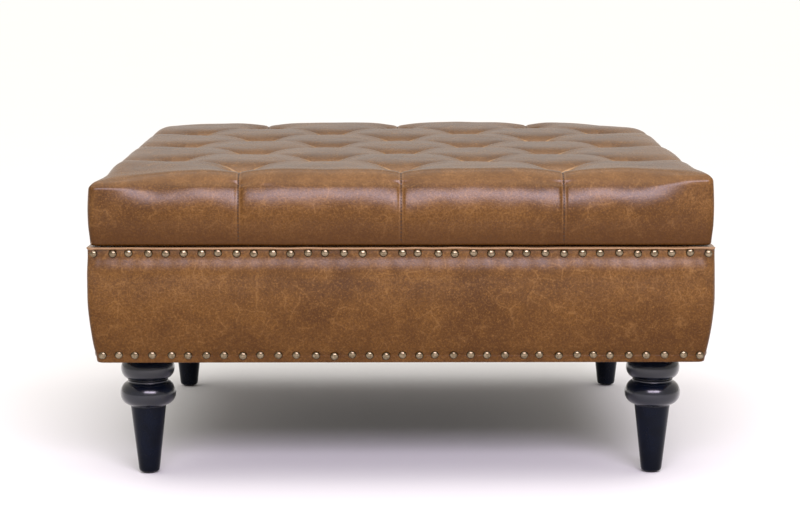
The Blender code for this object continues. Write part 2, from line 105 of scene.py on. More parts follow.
def turned(name, profile, centre, segments, paint):
    # a profile of (radius, height) spun about an upright axis; both ends close in a pole
    profile = np.asarray(profile, float)
    angle = np.linspace(0, 2 * np.pi, segments, endpoint=False)
    radius, height = profile[:, 0][:, None], profile[:, 1][:, None]
    x, y = centre[0] + radius * np.cos(angle), centre[1] + radius * np.sin(angle)
    rings = np.stack([x, y, height + 0 * angle + centre[2]], -1)
    count = len(profile) * segments
    poles = [[centre[0], centre[1], centre[2] + profile[end, 1]] for end in (0, -1)]
    around = np.arange(segments)
    following = (around + 1) % segments
    lastRing = count - segments
    first = np.stack([np.full(segments, count), around, following], -1)
    last = np.stack([np.full(segments, count + 1), lastRing + following, lastRing + around], -1)
    points = np.concatenate([rings.reshape(-1, 3), poles])
    faces = [gridFaces(len(profile), segments, closedCols=True), first, last]
    return outward(meshPiece(name, points, faces, paint))


def arc(centre, radii, start, stop, count):
    # points of an ellipse's arc in (radius, height), angles in degrees from the outward direction
    angle = np.radians(np.linspace(start, stop, count))
    return np.stack([centre[0] + radii[0] * np.cos(angle), centre[1] + radii[1] * np.sin(angle)], -1)


def ripple(x, y, wavelength, seed, waves=9):
    # smooth unevenness from -1 to 1: a sum of sine waves in random directions
    rng = np.random.default_rng(seed)
    turns = rng.uniform(0, np.pi, waves)
    phases = rng.uniform(0, 2 * np.pi, waves)
    stretches = rng.uniform(0.7, 1.5, waves)
    total = 0 * x
    for turn, phase, stretch in zip(turns, phases, stretches):
        along = x * np.cos(turn) + y * np.sin(turn)
        total = total + np.sin(2 * np.pi / (wavelength * stretch) * along + phase)
    return total / waves * 1.6


def smoothStep(value, low, high):
    # 0 at low and 1 at high, along 3 t squared less 2 t cubed
    share = np.clip((value - low) / (high - low), 0, 1)
    return share * share * (3 - 2 * share)


def bowl(distance, width):
    # a round valley beside a line, 1 on it and 0 beyond the width: 1 less the root of 1 - share squared
    share = 1 - np.clip(distance / width, 0, 1)
    return 1 - np.sqrt(1 - share * share)


class Wire:
    # a shader socket whose arithmetic adds Math nodes
    def __init__(self, paint, socket):
        self.paint, self.socket = paint, socket

    def math(self, operation, *values):
        return self.paint.node("ShaderNodeMath", {"operation": operation}, dict(enumerate(values)))

    def __add__(self, other):
        return self.math("ADD", self, other)

    def __radd__(self, other):
        return self.math("ADD", other, self)

    def __sub__(self, other):
        return self.math("SUBTRACT", self, other)

    def __rsub__(self, other):
        return self.math("SUBTRACT", other, self)

    def __mul__(self, other):
        return self.math("MULTIPLY", self, other)

    def __rmul__(self, other):
        return self.math("MULTIPLY", other, self)

    def __truediv__(self, other):
        return self.math("DIVIDE", self, other)

    def __rtruediv__(self, other):
        return self.math("DIVIDE", other, self)

    def __pow__(self, other):
        return self.math("POWER", self, other)

    def __rpow__(self, other):
        return self.math("POWER", other, self)

    def __abs__(self):
        return self.math("ABSOLUTE", self)

    def smallest(self, other):
        return self.math("MINIMUM", self, other)

    def wave(self, top):
        # a triangle wave between 0 and top
        return self.math("PINGPONG", self, top)

    def fade(self, low, high):
        # 0 at low and 1 at high, smoothly
        sockets = {"Value": self, "From Min": low, "From Max": high}
        return self.paint.node("ShaderNodeMapRange", {"interpolation_type": "SMOOTHSTEP"}, sockets)


class Paint:
    # a material under construction, round one Principled shader
    def __init__(self, name, **fixed):
        self.material = bpy.data.materials.new(name)
        self.material.use_nodes = True
        self.tree = self.material.node_tree
        self.shader = self.tree.nodes["Principled BSDF"]
        for socket, value in fixed.items():
            self.feed(self.shader.inputs[socket.replace("_", " ")], value)
        self.place = self.node("ShaderNodeTexCoord", {}, {}, "Object")

    def feed(self, socket, value):
        if isinstance(value, Wire):
            self.tree.links.new(value.socket, socket)
        elif isinstance(value, tuple) and len(value) == 3 and socket.type == "RGBA":
            socket.default_value = (*value, 1.0)
        else:
            socket.default_value = value

    def node(self, kind, settings, sockets, output=0):
        made = self.tree.nodes.new(kind)
        for key, value in settings.items():
            setattr(made, key, value)
        for key, value in sockets.items():
            self.feed(made.inputs[key], value)
        return Wire(self, made.outputs[output])

    def noise(self, scale, detail=2.0, rough=0.5, place=None, distortion=0.0):
        sockets = {"Vector": place or self.place, "Scale": scale, "Detail": detail, "Roughness": rough}
        return self.node("ShaderNodeTexNoise", {}, {**sockets, "Distortion": distortion}, "Fac")

    def cells(self, feature, scale, place=None):
        sockets = {"Vector": place or self.place, "Scale": scale}
        return self.node("ShaderNodeTexVoronoi", {"feature": feature}, sockets, "Distance")

    def stretch(self, scale, turn=(0.0, 0.0, 0.0)):
        return self.node("ShaderNodeMapping", {}, {"Vector": self.place, "Scale": scale, "Rotation": turn})

    def axes(self):
        split = self.tree.nodes.new("ShaderNodeSeparateXYZ")
        self.feed(split.inputs[0], self.place)
        return [Wire(self, split.outputs[i]) for i in range(3)]

    def mix(self, share, a, b):
        return self.node("ShaderNodeMix", {"data_type": "RGBA"}, {0: share, 6: a, 7: b}, 2)

    def bump(self, height, distance, strength):
        return self.node("ShaderNodeBump", {}, {"Height": height, "Distance": distance, "Strength": strength})

    def finish(self, **sockets):
        for socket, value in sockets.items():
            self.feed(self.shader.inputs[socket.replace("_", " ")], value)
        return self.material


tufts = dict(
    pitch=0.118,  # between neighbouring tuft lines, both ways
    reach=3,  # tuft lines each side of the middle
)


def saddleLeather(name, tufted):
    # waxed leather: cloudy browns, a faint web of pale cracks, fine grain, and painted shade that darkens it
    # towards the bottom the tufted one has its pleat and seam lines too, with painted shade in them, and
    # painted highlights beside them, round the tufts and on the top edge; the apron has a painted highlight on
    # its folded edge and painted shade in the tuck under it
    p = Paint(name, Specular_IOR_Level=0.11, Coat_Roughness=0.27)
    x, y, z = p.axes()
    warp = p.node("ShaderNodeTexNoise", {}, {"Vector": p.place, "Scale": 18.0, "Detail": 3.0}, "Color")
    shift = p.node("ShaderNodeVectorMath", {"operation": "SCALE"}, {0: warp, "Scale": 0.035})
    bent = p.node("ShaderNodeVectorMath", {"operation": "ADD"}, {0: p.place, 1: shift})
    cloud = p.noise(8.0, 4.0, 0.6)
    patch = p.noise(34.0, 6.0, 0.68)
    speckle = p.noise(340.0, 5.0, 0.85)
    web = 1 - p.cells("DISTANCE_TO_EDGE", 34.0, bent).fade(0.0, 0.05)
    fineWeb = 1 - p.cells("DISTANCE_TO_EDGE", 120.0, bent).fade(0.0, 0.10)
    scratches = p.noise(60.0, 4.0, 0.7, p.stretch((1.0, 1.0, 5.5), (0.3, 0.9, 0.5))).fade(0.60, 0.74)
    colour = p.mix(cloud.fade(0.33, 0.68), (0.062, 0.0238, 0.0036), (0.097, 0.0398, 0.0062))
    colour = p.mix(patch.fade(0.38, 0.74) * 0.65, colour, (0.142, 0.062, 0.0110))
    colour = p.mix(web * patch.fade(0.44, 0.60) * 0.22, colour, (0.330, 0.175, 0.060))
    colour = p.mix(fineWeb * cloud.fade(0.38, 0.65) * 0.17, colour, (0.320, 0.165, 0.055))
    colour = p.mix(scratches * 0.27, colour, (0.330, 0.175, 0.065))
    colour = p.mix(speckle.fade(0.50, 0.66) * 0.50, colour, (0.255, 0.122, 0.028))
    colour = p.mix((1 - speckle.fade(0.34, 0.50)) * 0.60, colour, (0.046, 0.016, 0.0032))
    pebble = p.cells("SMOOTH_F1", 560.0, bent)
    grain = p.noise(1400.0, 2.0, 0.6)
    height = pebble * 0.9 + grain * 0.35 + patch * 0.6 - fineWeb * 0.12
    if tufted:
        pitch = tufts["pitch"]
        across = (0.5 - ((x + y) / (2 * pitch)).wave(0.5)) * (math.sqrt(2) * pitch)
        along = (0.5 - ((x - y) / (2 * pitch)).wave(0.5)) * (math.sqrt(2) * pitch)
        edge = tufts["reach"] * pitch
        insideX = 1 - abs(x).fade(edge, edge + 0.002)
        insideY = 1 - abs(y).fade(edge, edge + 0.002)
        inside = insideX * insideY * z.fade(0.43, 0.44)
        toTuft = (across * across + along * along) ** 0.5
        pleat = (1 - across.smallest(along).fade(0.0005, 0.0023)) * inside
        seam = (1 - x.wave(pitch).fade(0.0004, 0.0018)) * (1 - insideY) * insideX
        seam = seam + (1 - y.wave(pitch).fade(0.0004, 0.0018)) * (1 - insideX) * insideY
        lip = (1 - abs(across.smallest(along) - 0.0040).fade(0.0, 0.0030)) * inside
        beside = (1 - abs(x.wave(pitch) - 0.0026).fade(0.0, 0.0018)) * (1 - insideY) * insideX
        beside = beside + (1 - abs(y.wave(pitch) - 0.0026).fade(0.0, 0.0018)) * (1 - insideX) * insideY
        nearTuft = 1 - toTuft.fade(0.014, 0.066)
        pucker = (1 - toTuft.fade(0.004, 0.030)) * inside * p.noise(240.0, 3.0, 0.7, bent).fade(0.38, 0.66)
        # painted light: a lighter tan on the slopes round each tuft, where light falls on them
        colour = p.mix(nearTuft * inside * 0.42, colour, (0.215, 0.105, 0.030))
        middle = (1 - abs(x).fade(0.375, 0.430)) * (1 - abs(y).fade(0.375, 0.430))
        shoulder = (1 - middle) * z.fade(0.446, 0.456)  # paler round the top edge: rubbed wear, and a painted highlight of the light from above
        colour = p.mix(shoulder * (0.08 + patch * 0.42), colour, (0.215, 0.112, 0.040))
        # painted highlight along the raised lip beside each pleat
        colour = p.mix(lip * (0.05 + nearTuft * 0.62), colour, (0.56, 0.34, 0.150))
        # painted highlight along both edges of each seam on the sides
        colour = p.mix(beside * 0.14, colour, (0.42, 0.235, 0.100))
        # painted highlight on the puckers round each tuft
        colour = p.mix(pucker * 0.70, colour, (0.46, 0.26, 0.110))
        # painted shade in the pleats and seams
        colour = p.mix(pleat * 0.85 + seam * 0.30, colour, (0.040, 0.016, 0.006))
        height = height - (pleat + seam) * 2.2 + pucker * 1.6
        # painted shade: the lid's leather is painted darker towards its bottom edge
        low = 1 - z.fade(0.358, 0.428)
        thin = 1 - z.fade(0.372, 0.440)
        paintedLowShade = 0.90
    else:
        # painted shade: the apron is painted darker towards its bottom
        low = 1 - z.fade(0.190, 0.320)
        thin = 1 - z.fade(0.260, 0.345)
        paintedLowShade = 0.42
        rolled = z.fade(0.3562, 0.3578)  # the folded top edge is paler: rubbed wear, and a painted highlight
        colour = p.mix(rolled * 0.70, colour, (0.34, 0.205, 0.105))
        # painted shade in the tuck just under the folded edge
        paintedTuckShade = 1 - abs(z - 0.3553).fade(0.0, 0.0012)
        colour = p.mix(paintedTuckShade * 0.6, colour, (0.040, 0.016, 0.006))
    # painted shade, darker towards the bottom
    colour = p.mix(low * paintedLowShade, colour, p.mix(speckle, (0.034, 0.0115, 0.0012), (0.078, 0.029, 0.0036)))
    rough = 0.26 + (patch - 0.5) * 0.14 + (speckle - 0.5) * 0.10
    # the wax is thin along the lower edges and on the seat
    wax = 0.39 - thin * 0.33 - z.fade(0.452, 0.468) * 0.10
    return p.finish(Base_Color=colour, Roughness=rough, Coat_Weight=wax, Normal=p.bump(height, 0.00022, 0.8))


def agedBrass():
    # dark lacquered brass, paler where the dome is rubbed
    p = Paint("agedBrass", Metallic=1.0)
    tarnish = p.noise(260.0, 3.0, 0.6)
    # 1 on top of a dome, 0 at its rim
    crown = p.node("ShaderNodeAttribute", {"attribute_name": "crown"}, {}, "Fac")
    colour = p.mix(tarnish.fade(0.30, 0.72), (0.150, 0.112, 0.066), (0.290, 0.235, 0.155))
    colour = p.mix(1 - crown.fade(0.15, 0.85), colour, (0.050, 0.035, 0.020))
    rough = 0.30 - crown * 0.12 + tarnish * 0.10
    return p.finish(Base_Color=colour, Roughness=rough, Normal=p.bump(p.noise(900.0, 2.0), 0.0001, 0.35))


def blackLacquer():
    # sprayed lacquer over turned wood: a faint blue black with a little orange peel
    p = Paint("blackLacquer", Specular_IOR_Level=0.13, Coat_Roughness=0.22)
    mottle = p.noise(30.0, 3.0)
    grain = p.noise(90.0, 4.0, 0.6, p.stretch((1.0, 1.0, 0.08)))
    colour = p.mix(mottle.fade(0.3, 0.7), (0.0004, 0.0014, 0.0050), (0.0010, 0.0030, 0.0100))
    rough = 0.17 + grain * 0.10
    polish = p.axes()[2].fade(0.1030, 0.1080) * 1.0  # the rings are polished, the shaft is duller
    bump = p.bump(grain + p.noise(420.0, 2.0) * 0.4, 0.0001, 0.3)
    return p.finish(Base_Color=colour, Roughness=rough, Coat_Weight=polish, Normal=bump)


def plywoodPaint():
    # birch plywood: long grain on the faces, thin dark glue lines across the edges
    p = Paint("plywoodPaint", Specular_IOR_Level=0.4)
    grain = p.noise(14.0, 5.0, 0.65, p.stretch((0.5, 6.0, 6.0)), 0.6)
    fibres = p.noise(90.0, 3.0, 0.6, p.stretch((0.12, 3.0, 3.0)))
    plies = (p.axes()[2] * 330.0).wave(0.5).fade(0.36, 0.5)
    colour = p.mix(grain.fade(0.32, 0.70), (0.44, 0.29, 0.155), (0.64, 0.46, 0.28))
    colour = p.mix(fibres.fade(0.5, 0.75) * 0.35, colour, (0.34, 0.21, 0.11))
    colour = p.mix(plies * 0.25, colour, (0.28, 0.16, 0.08))
    bump = p.bump(fibres + grain, 0.0004, 0.4)
    return p.finish(Base_Color=colour, Roughness=0.62 + fibres * 0.18, Normal=bump)


def pinePaint():
    # planed pine: wavy growth lines with darker late wood
    p = Paint("pinePaint", Specular_IOR_Level=0.4)
    sockets = {"Vector": p.stretch((1.0, 0.12, 1.0)), "Scale": 28.0, "Distortion": 5.0, "Detail": 3.0}
    bands = p.node("ShaderNodeTexWave", {"bands_direction": "X"}, sockets, "Fac")
    fibres = p.noise(120.0, 3.0, 0.6, p.stretch((2.0, 0.1, 2.0)))
    colour = p.mix(bands.fade(0.35, 0.95), (0.66, 0.47, 0.27), (0.46, 0.27, 0.12))
    return p.finish(Base_Color=colour, Roughness=0.6 + fibres * 0.2, Normal=p.bump(fibres, 0.0003, 0.4))


def clothPaint(name, dark, pale, weave):
    # plain-woven cotton: two crossing sets of threads with slubs
    p = Paint(name, Specular_IOR_Level=0.25, Sheen_Weight=0.25, Sheen_Roughness=0.5)
    x, y, z = p.axes()
    wobble = p.noise(60.0, 2.0) * 0.0012
    warp = ((x + z + wobble) * weave).wave(0.5)
    weft = ((y + z * 0.7 + wobble) * weave).wave(0.5)
    slub = p.noise(170.0, 3.0, 0.7, p.stretch((1.0, 0.15, 1.0)))
    worn = p.noise(7.0, 4.0, 0.6)
    height = warp + weft + slub * 0.5
    colour = p.mix((warp * weft * 4).fade(0.05, 0.8), dark, pale)
    colour = p.mix(slub.fade(0.55, 0.8) * 0.3, colour, pale)
    colour = p.mix(worn.fade(0.4, 0.8) * 0.2, colour, dark)
    return p.finish(Base_Color=colour, Roughness=0.80 + slub * 0.15, Normal=p.bump(height, 0.0003, 0.5))


def feltPaint():
    # black spun-bonded cloth: flattened fibres and a grid of small bonding dots
    p = Paint("feltPaint", Specular_IOR_Level=0.3, Sheen_Weight=0.2, Sheen_Roughness=0.5)
    x, y, _ = p.axes()
    fibres = p.noise(420.0, 4.0, 0.75, distortion=1.2)
    dots = (1 - ((x * 420.0).wave(0.5) * (y * 420.0).wave(0.5) * 4).fade(0.1, 0.5)) * 0.5
    colour = p.mix(fibres.fade(0.35, 0.75), (0.010, 0.010, 0.011), (0.045, 0.045, 0.048))
    bump = p.bump(fibres - dots, 0.0003, 0.5)
    return p.finish(Base_Color=colour, Roughness=0.78 + fibres * 0.18, Normal=bump)


def zincPaint():
    # bright zinc on pressed steel: rolling lines and pale spangle
    p = Paint("zincPaint", Metallic=1.0)
    rolled = p.noise(160.0, 3.0, 0.6, p.stretch((0.08, 3.0, 3.0)))
    spangle = p.noise(70.0, 2.0)
    colour = p.mix(spangle.fade(0.3, 0.7), (0.50, 0.50, 0.48), (0.66, 0.65, 0.62))
    return p.finish(Base_Color=colour, Roughness=0.26 + rolled * 0.2, Normal=p.bump(rolled, 0.0001, 0.4))


def nylonPaint():
    # moulded black nylon with a fine spark texture
    p = Paint("nylonPaint", Specular_IOR_Level=0.4)
    spark = p.noise(1100.0, 2.0)
    colour = p.mix(p.noise(60.0, 3.0), (0.018, 0.018, 0.019), (0.035, 0.035, 0.036))
    return p.finish(Base_Color=colour, Roughness=0.45 + spark * 0.2, Normal=p.bump(spark, 0.0002, 0.5))


def foamPaint():
    # open-cell foam
    p = Paint("foamPaint", Specular_IOR_Level=0.2)
    pores = p.cells("F1", 480.0)
    colour = p.mix(pores.fade(0.1, 0.7), (0.62, 0.55, 0.38), (0.82, 0.77, 0.62))
    return p.finish(Base_Color=colour, Roughness=0.85 + pores * 0.1, Normal=p.bump(pores, 0.0006, 0.8))


def twinePaint():
    # waxed twine: two plies laid round each other
    p = Paint("twinePaint", Specular_IOR_Level=0.4)
    x, y, z = p.axes()
    ply = ((x + z) * 420.0 + y * 300.0).wave(0.5)
    colour = p.mix(ply.fade(0.05, 0.45), (0.42, 0.36, 0.24), (0.74, 0.68, 0.54))
    rough = 0.62 + p.noise(300.0) * 0.2
    return p.finish(Base_Color=colour, Roughness=rough, Normal=p.bump(ply, 0.0004, 0.6))


lidLeatherPaint = saddleLeather("lidLeatherPaint", True)
apronLeatherPaint = saddleLeather("apronLeatherPaint", False)
brassPaint = agedBrass()
lacquerPaint = blackLacquer()
liningPaint = clothPaint("liningPaint", (0.016, 0.015, 0.015), (0.055, 0.052, 0.050), 900.0)
feltBlack = feltPaint()
zinc = zincPaint()
threadPaint = clothPaint("threadPaint", (0.018, 0.009, 0.004), (0.050, 0.027, 0.013), 2400.0)
cadPaints = {
    "plywood": plywoodPaint(),
    "pine": pinePaint(),
    "zinc_steel": zinc,
    "nylon": nylonPaint(),
    "foam": foamPaint(),
    "waxed_twine": twinePaint(),
    "black_lacquer": lacquerPaint,
    "black_cloth": feltBlack,
    "saddle_leather": apronLeatherPaint,
    "antique_brass": brassPaint,
}
for entry in frame["record"]["subparts"]:
    held = frame["nodes"][entry["node"]].data.materials
    held.clear()
    held.append(cadPaints[entry["material_slot"]])
print("materials made")


lidLow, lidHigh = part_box("lid_leather")
boardLow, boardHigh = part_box("lid_board")
lid = dict(
    half=lidHigh[0] - 0.0044,
    top=lidHigh[2] + 0.0012,
    bottom=lidLow[2],
    edge=0.0110,  # radius of the arris between top and sides, and of the upright corners
    cornerPower=2.4,  # 2 would make the corners spherical
    fall=0.0180,  # how far the arris drops, mid-side, so that the shoulder is round
    fallReach=(0.042, 0.080),  # over the top, down the side
    lean=0.0118,  # how far the arris moves in, mid-side
    leanReach=(0.050, 0.075),
    cells=31,  # grid steps between two tuft lines
    pleatDepth=0.0040,  # halfway between two tufts
    tuftPleatDepth=0.0072,  # at a tuft
    nearTuft=0.045,  # how far from a tuft the pleats deepen
    foldHeight=0.0018,  # one side of a pleat lies over the other by this much
    foldStep=0.0022,
    foldReach=0.013,
    tuftDepth=0.0115,
    tuftReach=0.0340,
    rayHeight=0.00065,  # puckers round each tuft
    pillow=0.062,  # from a pleat to where its pillow levels out
    seamDepth=0.0052,
    lowSeamDepth=0.0010,  # near the bottom of a side
    seamReach=0.060,
    seamGroove=0.0016,  # the narrow groove at the stitches
    grooveReach=0.0030,
    backRise=0.0050,  # the back of the top stands a little higher
    lip=0.027,
    lowerEdge=0.0040,  # radius of the lower edge
)


def tuftPlaces():
    # every crossing of the tuft lines whose two numbers add up to an odd one
    reach = tufts["reach"]
    m, n = np.meshgrid(np.arange(-reach, reach + 1), np.arange(-reach, reach + 1))
    odd = (m + n) % 2 == 1
    return np.stack([m[odd], n[odd]], -1) * tufts["pitch"]


tuftPoints = tuftPlaces()


def pleatLines():
    # a pleat joins each pair of diagonal neighbours; from the outer tufts a seam runs straight to the edge
    pitch, edge = tufts["pitch"], tufts["reach"] * tufts["pitch"]
    gap = np.abs(tuftPoints[:, None] - tuftPoints[None])
    a, b = np.nonzero(np.all(np.isclose(gap, pitch), axis=2))
    keep = a < b
    pleats = np.stack([tuftPoints[a[keep]], tuftPoints[b[keep]]], 1)
    outer = tuftPoints[np.isclose(np.abs(tuftPoints).max(1), edge)]
    towards = np.where(np.isclose(np.abs(outer), edge), np.sign(outer), 0)
    seams = np.stack([outer, outer + towards * 0.2], 1)
    return pleats, seams


pleats, seams = pleatLines()


def toLines(x, y, lines):
    # distance to the nearest of the lines, and how far behind it the point lies
    nearest = np.full(x.shape, 9.0)
    side = np.zeros(x.shape)
    for (ax, ay), (bx, by) in lines:
        lx, ly = bx - ax, by - ay
        share = np.clip(((x - ax) * lx + (y - ay) * ly) / (lx * lx + ly * ly), 0, 1)
        away = np.hypot(x - ax - share * lx, y - ay - share * ly)
        turn = ((x - ax) * ly - (y - ay) * lx) / math.hypot(lx, ly)
        closer = away < nearest
        nearest = np.where(closer, away, nearest)
        side = np.where(closer, -turn * np.sign(lx), side)
    return nearest, side


def tuftedDepth(x, y):
    # how far the top dips: the deeper of a round valley along the pleats and one along the seams; plus a cone
    # at each tuft, as exp(-(distance / reach) ** 1.6), a fold beside each pleat, rays at each tuft, and ripples
    toPleat, side = toLines(x, y, pleats)
    toSeam, _ = toLines(x, y, seams)
    away = np.hypot(x[..., None] - tuftPoints[:, 0], y[..., None] - tuftPoints[:, 1])
    nearest = away.argmin(-1)
    toTuft = away.min(-1)
    near = np.exp(-((toTuft / lid["nearTuft"]) ** 2))
    deeper = (lid["tuftPleatDepth"] - lid["pleatDepth"]) * near
    depth = (lid["pleatDepth"] + deeper) * bowl(toPleat, lid["pillow"])
    valley = 0.55 * bowl(toSeam, lid["seamReach"]) + 0.45 * np.exp(-((toSeam / (lid["seamReach"] / 2)) ** 2))
    seam = lid["seamDepth"] * valley + lid["seamGroove"] * np.exp(-toSeam / lid["grooveReach"])
    depth = np.maximum(depth, seam)
    depth = depth + lid["tuftDepth"] * np.exp(-((toTuft / lid["tuftReach"]) ** 1.6))
    fold = lid["foldHeight"] * np.tanh(side / lid["foldStep"]) * np.exp(-((side / lid["foldReach"]) ** 2))
    depth = depth + fold * smoothStep(toTuft, 0.004, 0.022) * (toPleat < 0.03)
    rng = np.random.default_rng(7)
    phase = rng.uniform(0, 2 * np.pi, (len(tuftPoints), 2))[nearest]
    angle = np.arctan2(y - tuftPoints[nearest, 1], x - tuftPoints[nearest, 0])
    rays = np.cos(7 * angle + phase[..., 0]) + 0.8 * np.cos(4 * angle + phase[..., 1])
    window = smoothStep(toTuft, 0.002, 0.012) * (1 - smoothStep(toTuft, 0.016, 0.040))
    depth = depth + lid["rayHeight"] * rays * window
    heave = ripple(x, y, 0.19, 3) * 0.0011 + ripple(x, y, 0.06, 4) * 0.00035
    rise = lid["backRise"] * smoothStep(y, -0.1, 0.42) * (0.85 + 0.35 * x / lid["half"])
    return depth + heave - rise


def sideDepth(along, height):
    # the sides dip at the seams, most near the top edge, and billow a little between them
    pitch = tufts["pitch"]
    toSeam = np.abs(np.mod(along + pitch, 2 * pitch) - pitch)
    toSeam = np.where(np.abs(along) > 3 * pitch, 9.0, toSeam)
    share = (height - lid["bottom"]) / (lid["top"] - lid["bottom"])
    shallow = lid["lowSeamDepth"]
    dip = shallow + (lid["seamDepth"] - shallow) * smoothStep(share, 0.25, 1.0)
    depth = dip * bowl(toSeam, lid["seamReach"]) + lid["seamGroove"] * np.exp(-toSeam / lid["grooveReach"])
    return depth + ripple(along, height * 1.4, 0.15, 11) * 0.0009 + ripple(along, height, 0.045, 12) * 0.00022


def foldAxis(q):
    # splits a distance from the middle, measured along the skin, into place on the inner box, lean, and drop:
    # past the inner box the skin goes round a quarter circle, by the angle's tangent, and then straight down
    inner, edge = lid["half"] - lid["edge"], lid["edge"]
    past = np.abs(q) - inner
    lean = np.tan(np.clip(past / edge, 0, np.pi / 4)) * np.sign(q)
    up = np.where(past > edge * np.pi / 4, np.tan(np.clip(np.pi / 2 - past / edge, 0, np.pi / 4)), 1.0)
    drop = np.clip(past - edge * np.pi / 2, 0, None)
    return np.clip(q, -inner, inner), lean, up, drop


def lidSkin(s, t, lift=0.0):
    # the cover's outer face: a box with a round top edge, less the depth of tufts and seams along its normal
    cx, dx, upX, dropX = foldAxis(s)
    cy, dy, upY, dropY = foldAxis(t)
    up, drop = np.minimum(upX, upY), np.maximum(dropX, dropY)
    up = np.where(drop > 0, 0.0, up)
    power = lid["cornerPower"]
    flat = (np.abs(dx) ** power + np.abs(dy) ** power) ** (1 / power)
    length = np.sqrt(flat**2 + up**2)
    way = np.stack([dx, dy, up], -1) / length[..., None]
    height = lid["top"] - lid["edge"] - drop
    point = np.stack([cx, cy, height], -1) + lid["edge"] * way
    normal = way / np.linalg.norm(way, axis=-1)[..., None]
    z = point[..., 2]
    front = np.abs(point[..., 1]) >= np.abs(point[..., 0])
    alongSide = np.where(front, point[..., 0], point[..., 1])
    swell = 0.0022 * smoothStep(z, lid["bottom"] + 0.035, lid["bottom"])
    topShare = smoothStep(normal[..., 2], 0.15, 0.80)
    depth = topShare * tuftedDepth(point[..., 0], point[..., 1])
    depth = depth + (1 - topShare) * (sideDepth(alongSide, z) + swell)
    # beside the board the leather lies on the board's edge
    room = lid["half"] - boardHigh[0] - 0.0010
    onBoard = 1 - smoothStep(z, boardHigh[2] + 0.002, boardHigh[2] + 0.014)
    depth = depth - onBoard * np.clip(depth - room, 0, None)
    return point - normal * (depth - lift)[..., None] - shoulderShift(point), normal


def shoulderShift(point):
    # the arris moves down and in, by the square of what is left of each reach, over the top and down the side
    # the corners move less, most of all the front ones
    size = np.abs(point[..., :2])
    toEdge = lid["half"] - size.max(-1)
    below = lid["top"] - point[..., 2]
    corner = 0.26 + 0.34 * smoothStep(point[..., 1], -0.2, 0.35)
    share = corner + (1 - corner) * smoothStep(lid["half"] - size.min(-1), 0.008, 0.110)
    down, inward = (
        lid[name] * share * np.clip(1 - toEdge / over, 0, 1) ** 2 * np.clip(1 - below / under, 0, 1) ** 2
        for name, (over, under) in (("fall", lid["fallReach"]), ("lean", lid["leanReach"]))
    )
    way = np.sign(point[..., :2]) * (size / lid["half"]) ** 16
    way = way / np.maximum(np.linalg.norm(way, axis=-1), 1e-9)[..., None]
    # the right side is fuller and the left one slacker
    down = down * (1 - 0.45 * np.clip(way[..., 0], 0, 1) ** 2 + 0.20 * np.clip(-way[..., 0], 0, 1) ** 2)
    return np.concatenate([way * inward[..., None], down[..., None]], -1)


def cornerSag(points):
    # the front corners of the cover are a little slack, the left one more
    height = smoothStep(points[..., 2], lid["bottom"] + 0.03, lid["top"])
    for cornerX, cornerY, sag, reach in (
        (-lid["half"], -lid["half"], 0.0145, 0.10),
        (lid["half"], -lid["half"], 0.0040, 0.08),
        (-lid["half"], lid["half"], 0.0100, 0.065),
        (lid["half"], lid["half"], 0.0180, 0.095),
    ):
        away = np.hypot(points[..., 0] - cornerX, points[..., 1] - cornerY)
        points[..., 2] -= sag * np.exp(-((away / reach) ** 2)) * height
    return points


